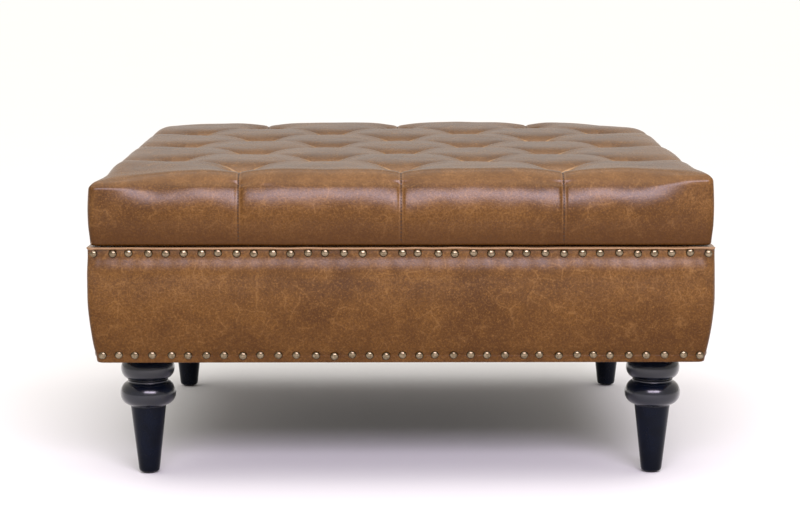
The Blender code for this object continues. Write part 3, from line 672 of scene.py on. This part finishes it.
def lidCoverPiece():
    pitch, edge = tufts["pitch"], lid["edge"]
    step = pitch / lid["cells"]
    inner = lid["half"] - edge
    level = int(inner / step)
    straight = np.arange(level + 1) * step
    bend = np.linspace(straight[-1], inner + edge * np.pi / 4, 6)[1:]
    half = np.concatenate([straight, bend])
    q = np.concatenate([-half[:0:-1], half])
    count = len(q)
    s, t = np.meshgrid(q, q)
    top, _ = lidSkin(s, t)

    # the rim of the top grid, anticlockwise, as places in it
    last = count - 1
    i = np.arange(last)
    rimRow = np.concatenate([0 * i, i, 0 * i + last, last - i])
    rimCol = np.concatenate([i, 0 * i + last, last - i, 0 * i])
    rim = rimRow * count + rimCol

    # rows of the skirt below it, down to the lower edge
    deepest = lid["top"] - lid["bottom"] - edge - lid["lowerEdge"]
    quarter = edge * np.pi / 2
    downs = [np.linspace(quarter / 2, quarter, 5)[1:], quarter + np.linspace(0, deepest, 25)[1:]]
    far = inner + np.concatenate(downs)[:, None]
    onX, onY = np.isin(rimCol, (0, last)), np.isin(rimRow, (0, last))
    rimS, rimT = q[rimCol], q[rimRow]
    # a corner column goes down with one of its two sides only
    sideFirst = onY & ~(onX & ~onY)
    skirtS = np.where(onX & ~sideFirst, np.sign(rimS) * far, rimS + 0 * far)
    skirtT = np.where(sideFirst, np.sign(rimT) * far, rimT + 0 * far)
    skirt, _ = lidSkin(skirtS, skirtT)

    # lower edge, turned-in lip, round the board's edge and over its top
    lastRow = skirt[-1]
    reach = np.abs(lastRow[:, :2]).max(1).mean()
    lower = lid["bottom"]
    turn = np.radians(np.linspace(0, 90, 5)[1:])
    fold = lid["lowerEdge"]
    section = [(reach - fold * (1 - math.cos(a)), lower + fold * (1 - math.sin(a))) for a in turn]
    boardHalf = boardHigh[0]
    clear = 0.0004
    section += [(lid["half"] - lid["lip"] * share, lower) for share in (0.4, 0.7, 1.0)]
    section += [
        (lid["half"] - lid["lip"], boardLow[2] - clear),
        (boardHalf + clear, boardLow[2] - clear),
        (boardHalf + clear, boardHigh[2] + clear),
        (boardHalf * 0.5, boardHigh[2] + clear),
    ]
    section = np.array(section)
    flat = lastRow[:, :2][None] * (section[:, 0] / reach)[:, None, None]
    under = np.concatenate([flat, np.broadcast_to(section[:, 1][:, None, None], (*flat.shape[:2], 1))], -1)

    points = cornerSag(np.concatenate([top.reshape(-1, 3), skirt.reshape(-1, 3), under.reshape(-1, 3)]))
    ringCount = len(rim)
    rows = len(skirt) + len(under)
    first = gridFaces(count, count)
    # each top cell is split along its lower diagonal, so that a pleat is one clean line
    z = points[first, 2]
    split = (z[:, 0] + z[:, 2] <= z[:, 1] + z[:, 3])[:, None]
    one = np.where(split, first[:, [0, 1, 2]], first[:, [0, 1, 3]])
    two = np.where(split, first[:, [0, 2, 3]], first[:, [1, 2, 3]])
    start = count * count
    order = np.arange(ringCount)
    join = np.stack([rim, start + order, start + np.roll(order, -1), np.roll(rim, -1)], -1)
    sides = gridFaces(rows, ringCount, closedCols=True, start=start)
    centre = len(points)
    points = np.concatenate([points, [[0, 0, boardHigh[2] + clear]]])
    lastRing = start + (rows - 1) * ringCount + order
    cap = np.stack([lastRing, np.roll(lastRing, -1), np.full(ringCount, centre)], -1)
    piece = outward(meshPiece("tuftedLidCover", points, [one, two, join, sides, cap], lidLeatherPaint))
    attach(piece, "lid")
    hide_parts("lid_leather", "lid_foam")
    return piece


lidCover = lidCoverPiece()
print("tufted lid:", len(lidCover.data.polygons), "faces,", len(tuftPoints), "tufts")

stitches = dict(length=0.0031, pitch=0.0054, radius=0.00095, sink=0.0003)


def seamStitches():
    # short threads along the bottom of each seam, from the outer tufts over the edge and down the side
    start = tufts["reach"] * tufts["pitch"] + 0.012
    aroundEdge = lid["edge"] * np.pi / 2
    stop = lid["half"] + aroundEdge + lid["top"] - lid["bottom"] - 2 * lid["edge"] - 0.006
    down = np.arange(start, stop, stitches["pitch"])
    middles, ahead = [], []
    for line in (-2, 0, 2):
        fixed = np.full(down.shape, line * tufts["pitch"])
        for sign in (-1, 1):
            for s, t, s2, t2 in (
                (fixed, sign * down, fixed, sign * (down + 0.001)),
                (sign * down, fixed, sign * (down + 0.001), fixed),
            ):
                here, normal = lidSkin(s, t, -stitches["sink"])
                there, _ = lidSkin(s2, t2, -stitches["sink"])
                middles.append(np.concatenate([cornerSag(here), normal], -1))
                ahead.append(there - here)
    middles, ahead = np.concatenate(middles), np.concatenate(ahead)
    ahead /= np.linalg.norm(ahead, axis=1)[:, None]
    normal = middles[:, 3:]
    across = np.cross(normal, ahead)
    across /= np.linalg.norm(across, axis=1)[:, None]
    normal = np.cross(ahead, across)
    places = np.stack([ahead, across, normal, middles[:, :3]], -1)
    # one thread: a six-sided bead, thin at both ends
    along = np.linspace(-0.5, 0.5, 6) * stitches["length"]
    thick = stitches["radius"] * np.sqrt(np.clip(1 - (along / (0.52 * stitches["length"])) ** 2, 0.06, 1))
    around = np.linspace(0, 2 * np.pi, 6, endpoint=False)
    bead = np.stack(
        [along[:, None] + 0 * around, thick[:, None] * np.cos(around), thick[:, None] * np.sin(around)], -1
    )
    ends = [np.arange(6)[None, ::-1], np.arange(30, 36)[None]]
    faces = [gridFaces(6, 6, closedCols=True), *ends]
    piece = repeated("seamStitches", bead.reshape(-1, 3), faces, places, threadPaint)
    outward(piece)
    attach(piece, "lid")
    return piece


seamStitches()
print("seam stitches made")

apronLow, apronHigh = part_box("apron_leather")
panelLow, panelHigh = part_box("front_panel")
apron = dict(
    half=apronHigh[0],
    top=apronHigh[2] + 0.0010,
    bottom=apronLow[2],
    corner=0.0095,
    perSide=250,
    perCorner=8,
    rim=panelHigh[0] - 0.0140,  # inner edge of the leather on the box's top
    lip=panelHigh[0] - 0.0110,  # inner edge of the leather under the box
    upperNails=0.0086,  # below the top edge
    lowerNails=0.0110,  # above the bottom edge
    nailsPerSide=35,
    nailInset=0.0105,
    sideInset=0.0060,  # the left and right rows start a little further from the corners
)


def apronWidth(z):
    # half width over the leather: upright, curving in over the lowest third
    share = np.clip((0.290 - z) / (0.290 - apron["bottom"]), 0, 1)
    return apron["half"] - 0.0120 * share**1.9


def nailRow(height, seed, jitter):
    # hand-set nails: even places along a side with a little scatter, the same count on all four sides
    rng = np.random.default_rng(seed)
    edge = float(apronWidth(np.array(height))) - apron["nailInset"]
    rows = []
    for side in range(4):
        end = edge - apron["sideInset"] * (side % 2)
        along = np.linspace(-end, end, apron["nailsPerSide"])
        drift = np.cumsum(rng.normal(0, 0.0011, len(along)))
        drift -= np.linspace(drift[0], drift[-1], len(drift))
        scatter = rng.normal(0, jitter, len(along)) + drift
        scatter[[0, -1]] *= 0.3
        rise = rng.normal(0, 0.0005, len(along))
        rows.append(np.stack([np.full(len(along), side), along + scatter, height + rise], -1))
    return np.concatenate(rows)


upperNails = nailRow(apron["top"] - apron["upperNails"], 21, 0.0011)
lowerNails = nailRow(apron["bottom"] + apron["lowerNails"], 22, 0.0011)


def apronDepth(side, along, z):
    # the leather is drawn in along both rows of nails, as exp(-(height / width) ** 2), with a dimple round
    # each nail, and is full between them
    top, bottom = apron["top"], apron["bottom"]
    upper, lower = top - apron["upperNails"], bottom + apron["lowerNails"]
    below = upper - z
    depth = 0.0050 * np.exp(-((below / 0.0190) ** 2)) * (z <= upper)
    depth = depth + 0.0050 * (1 - smoothStep(-below, 0.0045, 0.0070)) * (z > upper)
    depth = depth + 0.0012 * np.exp(-(((z - lower) / 0.0075) ** 2))
    for nails, reach, dent in ((upperNails, 0.0105, 0.0009), (lowerNails, 0.0085, 0.0007)):
        for wall in range(4):
            own = nails[nails[:, 0] == wall]
            onWall = side == wall
            gap = np.abs(along[onWall][:, None] - own[:, 1]).min(1)
            rise = z[onWall] - own[:, 2].mean()
            rise = np.where(rise < 0, rise * (0.55 if nails is upperNails else 1.0), rise * 1.3)
            depth[onWall] += dent * np.exp(-((gap / reach) ** 2 + (rise / reach) ** 2))
    welt = smoothStep(z, lower + 0.0004, lower - 0.0012)
    depth = depth - 0.0009 * welt + 0.0006 * np.exp(-(((z - lower - 0.0006) / 0.0009) ** 2))
    slack = smoothStep(z, bottom + 0.02, bottom + 0.05) * (1 - smoothStep(z, top - 0.06, top - 0.01))
    wander = ripple(along + side * 3.1, z * 1.7, 0.16, 31) * 0.0011
    wander = wander + ripple(along + side, z, 0.05, 32) * 0.0003
    # near an upright corner the leather is stretched over the box's edge, so it dips less
    taut = 0.15 + 0.85 * smoothStep(np.abs(along), apron["half"] - 0.003, apron["half"] - 0.014)
    return (depth + wander * (0.25 + 0.75 * slack)) * taut


def apronEdge(side, along):
    # the folded top edge rises and falls a little between the nails
    level = 0 * along
    short = ripple(along + side * 2.3, level, 0.052, 41) * 0.0007
    return short + ripple(along + side, level, 0.2, 42) * 0.0004


def spun(px, py, wall):
    # places on the front wall, turned round to another wall
    turn = wall * np.pi / 2
    return np.stack([px * np.cos(turn) - py * np.sin(turn), px * np.sin(turn) + py * np.cos(turn)], -1)


def ringPath():
    # places round a square with round corners: unit side, wall number, and share along the wall
    half, radius = apron["half"], apron["corner"]
    straight = half - radius
    points, walls = [], []
    for wall in range(4):
        along = np.linspace(-straight, straight, apron["perSide"])
        bend = np.radians(np.linspace(-90, 0, apron["perCorner"] + 1)[1:-1])
        px = np.concatenate([along, straight + radius * np.cos(bend)])
        py = np.concatenate([np.full(along.shape, -half), -straight + radius * np.sin(bend)])
        points.append(spun(px, py, wall))
        walls.append(np.full(len(px), wall))
    return np.concatenate(points), np.concatenate(walls)


def wallCoordinate(points, walls):
    # distance along its own wall, for each point of the ring
    turn = -walls * np.pi / 2
    return points[..., 0] * np.cos(turn) - points[..., 1] * np.sin(turn)


def apronPiece():
    ring, walls = ringPath()
    top, bottom = apron["top"], apron["bottom"]
    fold = 0.0016  # radius of the folded edges
    upper, lower = top - 0.020, bottom + 0.022  # rows are closer above and below these
    heights = np.concatenate([
        np.linspace(top - fold, upper, 13),
        np.linspace(upper, lower, 31)[1:],
        np.linspace(lower, bottom + fold, 16)[1:],
    ])
    side = np.broadcast_to(walls, (len(heights), len(walls)))
    z = np.broadcast_to(heights[:, None], side.shape)
    along = wallCoordinate(ring, walls)[None] + 0 * z
    width = apronWidth(z)
    depth = apronDepth(side, along, z)
    scale = (width - depth) / apron["half"]
    wave = apronEdge(side, along) * smoothStep(z, top - 0.010, top - fold)
    face = np.stack([ring[None, :, 0] * scale, ring[None, :, 1] * scale, z + wave], -1)

    def shelf(reach, height, wavy=0.0):
        # one loop of constant half width
        flat = ring * (reach / apron["half"])[..., None]
        rise = height + wavy * apronEdge(walls, wallCoordinate(ring, walls))
        return np.concatenate([flat, (rise + 0 * flat[:, 0])[:, None]], -1)[None]

    topReach = scale[0] * apron["half"]
    lowReach = scale[-1] * apron["half"]
    even = np.ones(len(ring))
    boxFace = panelHigh[0] + 0.0004
    loops = [
        shelf(even * boxFace, top - 0.0024),
        shelf(even * apron["rim"], top - 0.0024),
        shelf(even * apron["rim"], top - 0.0006),
        shelf(even * (apron["rim"] + 0.0008), top - 0.0002),
        shelf(even * (apron["rim"] + 0.014), top - 0.0003, 0.2),
        shelf(topReach - fold * 2.4, top - 0.0001, 0.7),
        shelf(topReach - fold * 0.9, top, 1.0),
        shelf(topReach - fold * 0.25, top - fold * 0.35, 1.0),
        face,
        shelf(lowReach - fold * 0.3, bottom + fold * 0.3),
        shelf(lowReach - fold, bottom),
        shelf(even * (apron["lip"] + 0.004), bottom + 0.0001),
        shelf(even * apron["lip"], bottom + 0.0002),
        shelf(even * apron["lip"], bottom + 0.0012),
        shelf(even * boxFace, bottom + 0.0014),
    ]
    grid = np.concatenate(loops)
    rows, cols = grid.shape[:2]
    faces = [gridFaces(rows, cols, closedRows=True, closedCols=True)]
    piece = outward(meshPiece("nailedApron", grid, faces, apronLeatherPaint))
    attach(piece, "base")
    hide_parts("apron_leather", "apron_padding")
    return piece


apronCover = apronPiece()
print("apron:", len(apronCover.data.polygons), "faces")

nail = dict(radius=0.0062, height=0.0036, proud=0.0009, segments=12)


def nailPiece(name, nails, seed, replaced):
    # a low dome with a turned-down rim, sitting on the leather and leaning as it leans
    rng = np.random.default_rng(seed)
    side, along, z = nails[:, 0].astype(int), nails[:, 1], nails[:, 2]
    step = 0.003
    reach = apronWidth(z) - apronDepth(side, along, z) + nail["proud"]
    lean = np.arctan2(apronWidth(z + step) - apronWidth(z - step), 2 * step)
    tilt = lean + rng.normal(0, 0.05, len(z))
    yaw = rng.normal(0, 0.05, len(z))
    # outward, across and upward directions of each nail on the front wall, then turned to its own wall
    out = np.stack([np.sin(yaw) * np.cos(tilt), -np.cos(yaw) * np.cos(tilt), -np.sin(tilt)], -1)
    across = np.stack([np.cos(yaw), np.sin(yaw), 0 * yaw], -1)
    upward = np.cross(across, -out)
    places = np.stack([across, upward, out, np.stack([along, -reach, z], -1)], -1)
    turn = side * np.pi / 2
    c, s, o, l = np.cos(turn), np.sin(turn), 0 * turn, 1 + 0 * turn
    spin = np.stack([np.stack([c, -s, o], -1), np.stack([s, c, o], -1), np.stack([o, o, l], -1)], 1)
    places = np.einsum("kij,kjl->kil", spin, places)
    rise = np.radians(np.array([90.0, 62.0, 38.0, 16.0]))
    radii = np.concatenate([nail["radius"] * np.cos(rise[1:]), [nail["radius"], nail["radius"] * 0.96]])
    heights = np.concatenate([nail["height"] * np.sin(rise[1:]), [0.0002, -0.0024]])
    around = np.linspace(0, 2 * np.pi, nail["segments"], endpoint=False)
    rings = np.stack(
        [radii[:, None] * np.cos(around), radii[:, None] * np.sin(around), heights[:, None] + 0 * around], -1
    ).reshape(-1, 3)
    count = nail["segments"]
    order = np.arange(count)
    crown = np.stack([order, np.roll(order, -1), np.full(count, len(rings))], -1)
    base = (len(rings) - count + order)[None]
    shape = np.concatenate([rings, [[0, 0, nail["height"]]]])
    faces = [gridFaces(len(radii), count, closedCols=True), crown, base]
    piece = outward(repeated(name, shape, faces, places, brassPaint))
    crown = np.tile(np.clip(shape[:, 2] / nail["height"], 0, 1), len(nails))
    piece.data.attributes.new("crown", "FLOAT", "POINT").data.foreach_set("value", crown.astype(np.float32))
    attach(piece, "base")
    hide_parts(replaced)
    return piece


nailPiece("upperNails", upperNails, 51, "upper_nail_trim")
nailPiece("lowerNails", lowerNails, 52, "lower_nail_trim")
print("nails:", len(upperNails) + len(lowerNails))

leg = dict(
    segments=56,
    foot=(0.0146, 0.0026),
    ankle=(0.0158, 0.0072),
    shaftTop=(0.0266, 0.1035),
    lowerRing=dict(height=0.1240, root=0.0270, bulge=0.0150, half=0.0178),
    upperRing=dict(height=0.1625, root=0.0270, bulge=0.0134, half=0.0166),
    neck=0.0268,
    bead=0.0305,
)


def legProfile(topHeight):
    # from the top down: collar, upper ring, neck, bead, lower ring, tapered shaft, rounded foot
    lower, upper = leg["lowerRing"], leg["upperRing"]
    parts = [
        [(0.0200, topHeight), (leg["neck"] - 0.0006, topHeight), (leg["neck"], topHeight - 0.0006)],
        arc((upper["root"], upper["height"]), (upper["bulge"], upper["half"]), 84, -84, 26),
        [(leg["neck"], upper["height"] - upper["half"] - 0.0006)],
        arc((leg["neck"], 0.1436), (leg["bead"] - leg["neck"], 0.0016), 40, -10, 5),
        arc((lower["root"], lower["height"]), (lower["bulge"], lower["half"]), 78, -80, 28),
        [(leg["shaftTop"][0] + 0.0004, leg["shaftTop"][1] + 0.0022)],
        np.linspace(leg["shaftTop"], leg["ankle"], 14),
        arc((leg["foot"][0] - 0.0024, leg["foot"][1] + 0.0024), (0.0030, 0.0024), -8, -88, 6),
        [(0.0060, leg["foot"][1])],
    ]
    return np.concatenate([np.asarray(part, float) for part in parts])


for place in ("front_left", "front_right", "back_left", "back_right"):
    low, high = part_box(f"leg_{place}")
    centre = ((low[0] + high[0]) / 2, (low[1] + high[1]) / 2, 0.0)
    made = turned(f"turnedLeg_{place}", legProfile(high[2]), centre, leg["segments"], lacquerPaint)
    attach(made, "base")
    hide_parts(f"leg_{place}")
print("legs turned")

cloth = dict(
    steps=150,  # grid lines each way
    thickness=0.0005,
    pucker=0.0005,  # height of the puckers between staples
    puckerReach=0.035,  # share of the width over which they die away
    stapleWidth=0.0100,
    stapleWire=0.00045,
    stapleStep=0.062,
    inset=0.0075,  # of the staples from the cloth's edge
)


def clothSheet(name, low, high, height, sag, seed, body, replaced):
    # a flat cloth pinned along its edges: it hangs as (16 u (1 - u) v (1 - v)) ** 0.8 and puckers between the
    # staples as a cosine that dies away inwards
    steps = cloth["steps"]
    x, y = np.meshgrid(np.linspace(low[0], high[0], steps), np.linspace(low[1], high[1], steps))
    u, v = (x - low[0]) / (high[0] - low[0]), (y - low[1]) / (high[1] - low[1])
    middle = (16 * u * (1 - u) * v * (1 - v)) ** 0.8
    edge = np.minimum(np.minimum(u, 1 - u), np.minimum(v, 1 - v))
    pinned = np.where(np.minimum(u, 1 - u) < np.minimum(v, 1 - v), y, x)
    pucker = np.cos(2 * np.pi * pinned / cloth["stapleStep"]) * np.exp(-edge / cloth["puckerReach"])
    pucker = cloth["pucker"] * (pucker * smoothStep(edge, 0.0, 0.012))
    heave = 0.0006 * ripple(x, y, 0.22, seed) * smoothStep(edge, 0, 0.05)
    z = height - (sag * middle + pucker + heave)
    points = np.stack([x, y, z], -1)
    piece = meshPiece(name, points, [gridFaces(steps, steps)], feltBlack)
    wall = piece.modifiers.new("thickness", "SOLIDIFY")
    wall.thickness = cloth["thickness"]
    wall.offset = 1.0
    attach(piece, body)
    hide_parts(replaced)
    return piece


def staplesRound(name, low, high, height, body):
    # wire staples in a line round a cloth, a little uneven
    rng = np.random.default_rng(61)
    inset = cloth["inset"]
    spots = []
    for turn, start, stop, fixed in (
        (0, low[0], high[0], low[1] + inset),
        (0, low[0], high[0], high[1] - inset),
        (1, low[1], high[1], low[0] + inset),
        (1, low[1], high[1], high[0] - inset),
    ):
        count = int((stop - start - 0.03) / cloth["stapleStep"])
        along = np.linspace(start + 0.02, stop - 0.02, count + 1)
        wander = rng.normal(0, 0.0012, (len(along), 3))
        place = [along + wander[:, 0], fixed + wander[:, 1]]
        spots.append(np.stack([place[turn], place[1 - turn], wander[:, 2] * 90 + turn * np.pi / 2], -1))
    spots = np.concatenate(spots)
    half, wire = cloth["stapleWidth"] / 2, cloth["stapleWire"]
    # one staple: a square wire, bent down at both ends
    oneSide = [(-half, 0.0012), (-half, -0.0002), (-half + wire, -wire * 1.6)]
    path = np.array(oneSide + [(-across, rise) for across, rise in oneSide[::-1]])
    around = np.array([(-1, -1), (1, -1), (1, 1), (-1, 1)]) * wire / 2
    inward = np.array([1.0, 0.7, 0.35, -0.35, -0.7, -1.0])
    acrossBar = path[:, :1] + around[:, 1] * inward[:, None]
    upBar = path[:, 1:] + around[:, 1] * (1 - np.abs(inward[:, None]))
    bar = np.stack([acrossBar, around[:, 0] + 0 * path[:, :1], upBar], -1)
    c, s, o = np.cos(spots[:, 2]), np.sin(spots[:, 2]), 0 * spots[:, 2]
    rows = [[c, -s, o, spots[:, 0]], [s, c, o, spots[:, 1]], [o, o, o + 1, o + height]]
    places = np.stack([np.stack(row, -1) for row in rows], 1)
    faces = [gridFaces(6, 4, closedCols=True), np.arange(4)[None], np.arange(20, 24)[None]]
    piece = outward(repeated(name, bar.reshape(-1, 3), faces, places, zinc))
    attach(piece, body)
    return piece


dustLow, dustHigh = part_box("dust_cloth")
clothSheet("underCloth", dustLow, dustHigh, dustLow[2], 0.0010, 71, "base", "dust_cloth")
staplesRound("underStaples", dustLow, dustHigh, dustLow[2] - 0.0003, "base")
liningLow, liningHigh = (np.array(corner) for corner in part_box("lid_lining"))
liningLow[:2] -= 0.0058  # it reaches the leather's turned edge
liningHigh[:2] += 0.0054
clothSheet("lidUnderCloth", liningLow, liningHigh, liningLow[2], 0.0012, 72, "lid", "lid_lining")
staplesRound("lidStaples", liningLow, liningHigh, liningLow[2] - 0.0003, "lid")
print("cloths and staples made")


lining = dict(
    corner=0.010,  # radius between floor and walls
    perWall=90,
    floorLift=0.0012,
    belly=0.0022,
    hem=0.0006,
    thickness=0.0005,
)


def wellLining():
    # the storage space's lining: a rippled floor, a quarter circle up to walls that belly out by the sine of
    # the height's share, and a turned hem along the top
    low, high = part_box("storage_liner")
    wallX, floorZ, topZ = high[0] - 0.0002, low[2] + 0.0006, high[2]
    corner, perWall = lining["corner"], lining["perWall"]
    restZ = floorZ + lining["floorLift"]
    u = np.linspace(-1, 1, perWall)
    path = np.concatenate([spun(u[:-1], np.full(perWall - 1, -1.0), wall) for wall in range(4)])
    walls = np.repeat(np.arange(4), perWall - 1)
    along = wallCoordinate(path, walls) * wallX
    shares = np.linspace(0, 1, 34)[1:]
    floorReach = wallX - corner
    rows = []
    for share in shares:
        flat = path * floorReach * share
        wrinkle = ripple(flat[:, 0], flat[:, 1], 0.17, 81) * 0.0012 * (1 - share**6)
        rows.append(np.concatenate([flat, (restZ + wrinkle)[:, None]], -1))
    for angle in np.radians(np.linspace(0, 90, 6)[1:]):
        flat = path * (floorReach + corner * math.sin(angle))
        z = restZ + corner * (1 - math.cos(angle))
        rows.append(np.concatenate([flat, np.full((len(flat), 1), z)], -1))
    wallLow = restZ + corner
    for share in np.linspace(0, 1, 30)[1:]:
        z = wallLow + (topZ - wallLow) * share
        uneven = 1 + ripple(along + walls * 1.7, 0 * along + z, 0.12, 82)
        belly = lining["belly"] * np.sin(np.pi * share) * uneven
        belly = np.clip(belly, 0, None) + 0.0006 * np.abs(ripple(along + walls, 0 * along, 0.03, 83)) * share
        nearCorner = smoothStep(np.abs(along), wallX, wallX - 0.03)
        hem = lining["hem"] * smoothStep(z, topZ - 0.0115, topZ - 0.0105)
        flat = path * (wallX - belly * nearCorner - hem)[:, None]
        rows.append(np.concatenate([flat, np.full((len(flat), 1), z)], -1))
    grid = np.array(rows)
    count = len(path)
    centre = grid.shape[0] * count
    points = np.concatenate([grid.reshape(-1, 3), [[0, 0, grid[0, :, 2].mean()]]])
    order = np.arange(count)
    middle = np.stack([np.full(count, centre), np.roll(order, -1), order], -1)
    faces = [gridFaces(grid.shape[0], count, closedCols=True), middle]
    piece = meshPiece("wellLining", points, faces, liningPaint)
    wall = piece.modifiers.new("thickness", "SOLIDIFY")
    wall.thickness = lining["thickness"]
    wall.offset = 0.0
    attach(piece, "base")
    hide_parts("storage_liner")
    return piece


wellLining()
print("storage lining made")

stage = dict(
    floorSize=260.0,
    paper=(0.86, 0.86, 0.86),
    world=(1.0, 0.935, 0.875),
    worldStrength=0.65,
    sky=1.85,
    skyWidth=84,  # degrees
    skyColour=(1.0, 0.99, 0.98),
    boxColour=(1.0, 0.89, 1.10),
    boxTarget=(0, -0.3, 0.35),
)


def paperFloor():
    p = Paint("paperFloor", Specular_IOR_Level=0.1)
    shade = p.noise(3.0, 2.0)
    tone = stage["paper"]
    colour = p.mix(shade, tuple(0.985 * c for c in tone), tone)
    half = stage["floorSize"] / 2
    points = [(-half, -half, 0), (half, -half, 0), (half, half, 0), (-half, half, 0)]
    paper = p.finish(Base_Color=colour, Roughness=0.9 + shade * 0.05)
    floor = meshPiece("paperFloor", points, [np.array([[0, 1, 2, 3]])], paper)
    return floor


def softBox(name, place, size, power):
    # a lamp behind a rectangle of white cloth, aimed at the ottoman's front
    light = bpy.data.lights.new(name, "AREA")
    light.shape = "RECTANGLE"
    light.size, light.size_y = size
    light.energy = power
    light.color = stage["boxColour"]
    lamp = bpy.data.objects.new(name, light)
    bpy.context.scene.collection.objects.link(lamp)
    lamp.location = place
    aim = np.array(stage["boxTarget"]) - np.array(place)
    tilt = math.acos(-aim[2] / np.linalg.norm(aim))
    lamp.rotation_euler = (tilt, 0.0, math.atan2(aim[1], aim[0]) - np.pi / 2)
    return lamp


paperFloor()
world = bpy.data.worlds.new("paleRoom")
world.use_nodes = True
world.node_tree.nodes["Background"].inputs["Color"].default_value = (*stage["world"], 1.0)
world.node_tree.nodes["Background"].inputs["Strength"].default_value = stage["worldStrength"]
bpy.context.scene.world = world
softBox("leftSoftBox", (-0.37, -3.1, 1.85), (1.05, 0.86), 37.0)
softBox("rightSoftBox", (0.93, -3.1, 1.85), (1.45, 0.86), 60.0)
sky = bpy.data.lights.new("ceiling", "SUN")  # a wide bright ceiling, straight above
sky.energy = stage["sky"]
sky.angle = math.radians(stage["skyWidth"])
sky.color = stage["skyColour"]
bpy.context.scene.collection.objects.link(bpy.data.objects.new("ceiling", sky))

view = dict(place=(-0.0248, -3.5436, 0.773), pitch=8.094, yaw=-0.429, lens=96.91)
camera = bpy.data.objects.new("camera", bpy.data.cameras.new("camera"))
bpy.context.scene.collection.objects.link(camera)
camera.location = view["place"]
camera.rotation_euler = (math.radians(90 - view["pitch"]), 0.0, math.radians(view["yaw"]))
camera.data.lens = view["lens"]
camera.data.sensor_width = 36.0
camera.data.clip_end = 400.0
bpy.context.scene.camera = camera
bpy.context.scene.view_settings.view_transform = "Standard"
print("stage set")
